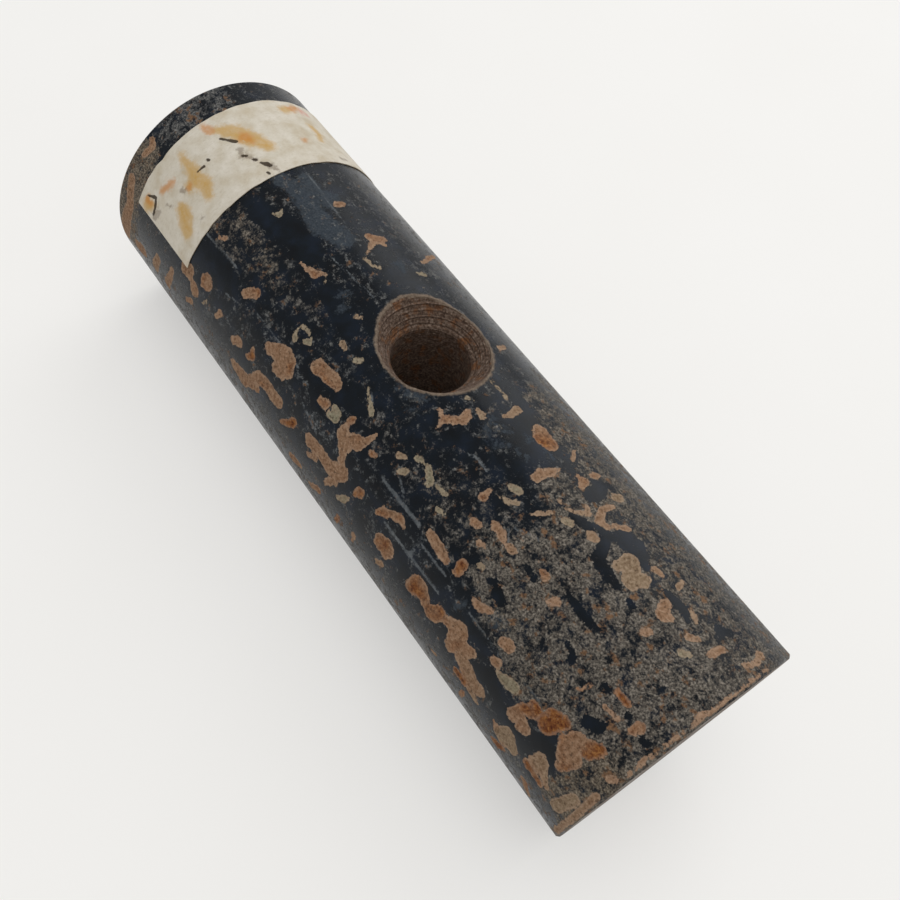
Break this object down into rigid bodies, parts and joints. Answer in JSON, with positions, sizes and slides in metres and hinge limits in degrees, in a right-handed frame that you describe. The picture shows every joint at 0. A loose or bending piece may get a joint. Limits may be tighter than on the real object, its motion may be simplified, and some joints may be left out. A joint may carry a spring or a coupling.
{
  "type": "stonemasons hammer head",
  "caption": "Head of a stonemason's hammer: plain round steel bar with flat striking ends, a cross-drilled eye with flared mouths for the handle, and a paper label gummed round one end.",
  "frame": {"origin": "centre of the eye, on the axis of the bar", "axes": "+X along the bar, from the labelled end to the other end; +Z along the eye, out of the mouth that faces up; Y across the bar"},
  "size_m": [0.155, 0.0503, 0.0503],
  "materials": {
    "painted_steel": "old gloss black paint, chipped and pitted with rust",
    "gum": "dried ochre gum",
    "paper": "matte, scuffed and stained"
  },
  "bodies": {
    "root": {"hammer_head": "painted_steel", "label_gum": "gum", "paper_label": "paper"}
  },
  "joints": []
}
